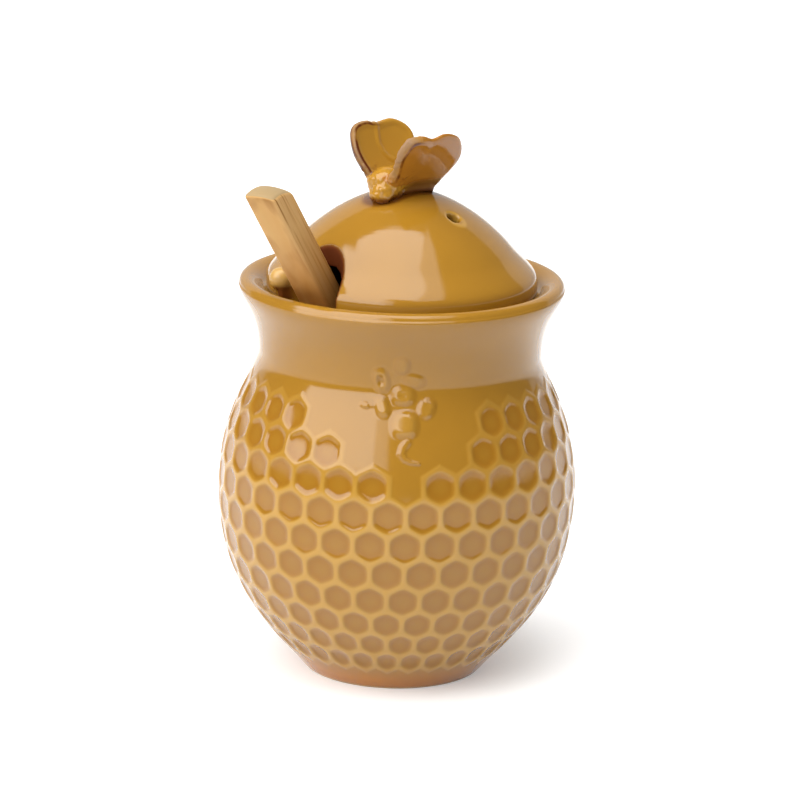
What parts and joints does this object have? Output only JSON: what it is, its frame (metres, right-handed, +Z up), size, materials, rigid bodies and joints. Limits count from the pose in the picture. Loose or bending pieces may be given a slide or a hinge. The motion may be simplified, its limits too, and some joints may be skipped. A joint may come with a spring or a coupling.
{
  "type": "honey pot",
  "caption": "Round-bellied glazed stoneware honey pot with a lift-off domed lid, a butterfly knob and a square-handled wooden dipper leaning out through the lid's notch.",
  "frame": {"origin": "centre of the foot, on the table", "axes": "+Z up along the pot's axis; the bee relief on the belly faces -Y, so +X is to the right of someone who faces it"},
  "size_m": [0.0946, 0.0946, 0.1466],
  "materials": {
    "honey_glaze": "glossy translucent honey-amber glaze over pale stoneware, lighter on ridges",
    "butterfly_glaze": "glossy honey-amber glaze, brown and worn along the wing edges",
    "dipper_wood": "plain sanded hardwood"
  },
  "bodies": {
    "pot": {"pot_body": "honey_glaze", "bee_relief_sprig": "honey_glaze"},
    "lid": {"lid_dome": "honey_glaze", "butterfly_body": "butterfly_glaze", "butterfly_wing_left": "butterfly_glaze", "butterfly_wing_right": "butterfly_glaze"},
    "dipper": {"dipper_handle": "dipper_wood", "dipper_head": "dipper_wood"}
  },
  "joints": [
    {"name": "lid_lift", "type": "slide", "parent": "pot", "child": "lid", "axis": [0, 0, 1], "range_m": [0, 0.07]},
    {"name": "dipper_lift", "type": "slide", "parent": "pot", "child": "dipper", "axis": [-0.3951, -0.3749, 0.8387], "range_m": [0, 0.055]}
  ]
}
